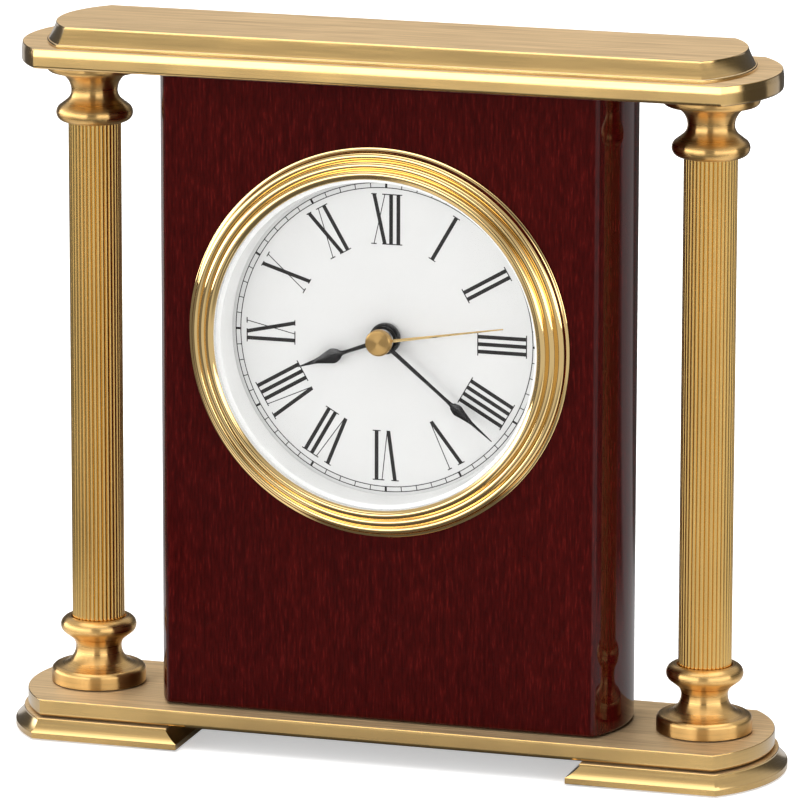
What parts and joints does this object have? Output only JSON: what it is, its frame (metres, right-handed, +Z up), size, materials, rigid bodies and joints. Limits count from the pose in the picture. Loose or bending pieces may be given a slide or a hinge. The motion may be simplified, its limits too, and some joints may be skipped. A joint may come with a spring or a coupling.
{
  "type": "carriage clock",
  "caption": "Quartz mantel clock: a glossy rosewood block with a round pull-out dial insert, between two fluted brass columns, on brass plates and feet.",
  "frame": {"origin": "on the table under the centre of the clock", "axes": "+Z up, -Y towards the viewer of the dial, +X to the right of the dial"},
  "size_m": [0.1838, 0.0456, 0.1666],
  "materials": {
    "brushed_brass": "satin, brushed lengthwise",
    "polished_brass": "polished",
    "turned_brass": "turned and lacquered",
    "fluted_brass": "satin, fluted",
    "rosewood": "high gloss lacquer over rosewood veneer",
    "felt": "felt",
    "steel": "zinc plated",
    "glass": "clear mineral glass",
    "white_enamel": "satin white enamel",
    "black_plastic": "fine matte",
    "white_plastic": "natural acetal",
    "black_enamel": "gloss black enamel",
    "rubber": "matte",
    "copper": "enamelled copper wire",
    "circuit_board": "solder mask",
    "battery_sleeve": "plain printed film"
  },
  "bodies": {
    "case": {"base_plate": "brushed_brass", "foot_left": "brushed_brass", "foot_right": "brushed_brass", "felt_left": "felt", "felt_right": "felt", "top_plate": "brushed_brass", "top_cap": "brushed_brass", "case_block": "rosewood", "column_tube_left": "fluted_brass", "column_tube_right": "fluted_brass", "pedestal_left": "turned_brass", "pedestal_right": "turned_brass", "capital_left": "turned_brass", "capital_right": "turned_brass", "tie_rod_left": "steel", "tie_rod_right": "steel", "lower_nut_left": "steel", "lower_nut_right": "steel", "upper_nut_left": "steel", "upper_nut_right": "steel", "lower_block_screw_left": "steel", "lower_block_screw_right": "steel", "upper_block_screw_left": "steel", "upper_block_screw_right": "steel", "foot_screw_left": "steel", "foot_screw_right": "steel", "cap_screw_left": "brushed_brass", "cap_screw_right": "brushed_brass"},
    "insert": {"bezel": "polished_brass", "lens": "glass", "rehaut_ring": "white_enamel", "dial": "white_enamel", "insert_sleeve": "black_plastic", "rubber_ring": "rubber", "dial_nut": "black_enamel", "movement_case": "black_plastic", "movement_cover": "black_plastic", "train_plate": "brushed_brass", "stator": "steel", "coil": "copper", "circuit_board": "circuit_board", "battery_contact_positive": "steel", "battery_contact_negative": "steel"},
    "minute_hand": {"minute_hand": "black_enamel", "cannon_pinion": "brushed_brass"},
    "hour_hand": {"hour_hand": "black_enamel", "hour_wheel": "white_plastic"},
    "second_hand": {"second_hand": "polished_brass", "second_wheel": "white_plastic"},
    "minute_wheel": {"minute_wheel": "white_plastic"},
    "setting_knob": {"setting_knob": "black_plastic"},
    "rotor": {"rotor": "black_plastic"},
    "intermediate_wheel": {"intermediate_wheel": "white_plastic"},
    "third_wheel": {"third_wheel": "white_plastic"},
    "centre_wheel": {"centre_wheel": "white_plastic"},
    "battery": {"battery": "battery_sleeve"}
  },
  "joints": [
    {"name": "insert_pull_out", "type": "slide", "parent": "case", "child": "insert", "axis": [0, -1, 0], "range_m": [0, 0.045]},
    {"name": "battery_lift_out", "type": "slide", "parent": "insert", "child": "battery", "axis": [0, 1, 0], "range_m": [0, 0.03]},
    {"name": "minute_hand_turn", "type": "hinge", "parent": "insert", "child": "minute_hand", "pos_m": [0, -0.0088, 0.098], "axis": [0, 1, 0], "continuous": true},
    {"name": "hour_hand_turn", "type": "hinge", "parent": "insert", "child": "hour_hand", "pos_m": [0, -0.0088, 0.098], "axis": [0, 1, 0], "continuous": true},
    {"name": "minute_wheel_turn", "type": "hinge", "parent": "insert", "child": "minute_wheel", "pos_m": [-0.00789, -0.0088, 0.09513], "axis": [0, 1, 0], "continuous": true},
    {"name": "setting_knob_turn", "type": "hinge", "parent": "insert", "child": "setting_knob", "pos_m": [-0.01608, -0.0088, 0.09985], "axis": [0, 1, 0], "continuous": true},
    {"name": "second_hand_turn", "type": "hinge", "parent": "insert", "child": "second_hand", "pos_m": [0, -0.0088, 0.098], "axis": [0, 1, 0], "continuous": true},
    {"name": "intermediate_wheel_turn", "type": "hinge", "parent": "insert", "child": "intermediate_wheel", "pos_m": [0.00509, -0.0088, 0.10309], "axis": [0, 1, 0], "continuous": true},
    {"name": "rotor_turn", "type": "hinge", "parent": "insert", "child": "rotor", "pos_m": [0.01198, -0.0088, 0.10431], "axis": [0, 1, 0], "continuous": true},
    {"name": "third_wheel_turn", "type": "hinge", "parent": "insert", "child": "third_wheel", "pos_m": [-0.0045, -0.0088, 0.10579], "axis": [0, 1, 0], "continuous": true},
    {"name": "centre_wheel_turn", "type": "hinge", "parent": "insert", "child": "centre_wheel", "pos_m": [0, -0.0088, 0.098], "axis": [0, 1, 0], "continuous": true}
  ],
  "couplings": [
    {"joint": "hour_hand_turn", "follows": "minute_hand_turn", "ratio": 0.083333},
    {"joint": "minute_wheel_turn", "follows": "minute_hand_turn", "ratio": -0.33333},
    {"joint": "setting_knob_turn", "follows": "minute_hand_turn", "ratio": 0.66667},
    {"joint": "intermediate_wheel_turn", "follows": "second_hand_turn", "ratio": -5},
    {"joint": "rotor_turn", "follows": "second_hand_turn", "ratio": 30},
    {"joint": "third_wheel_turn", "follows": "second_hand_turn", "ratio": -0.125},
    {"joint": "centre_wheel_turn", "follows": "second_hand_turn", "ratio": 0.016667}
  ]
}
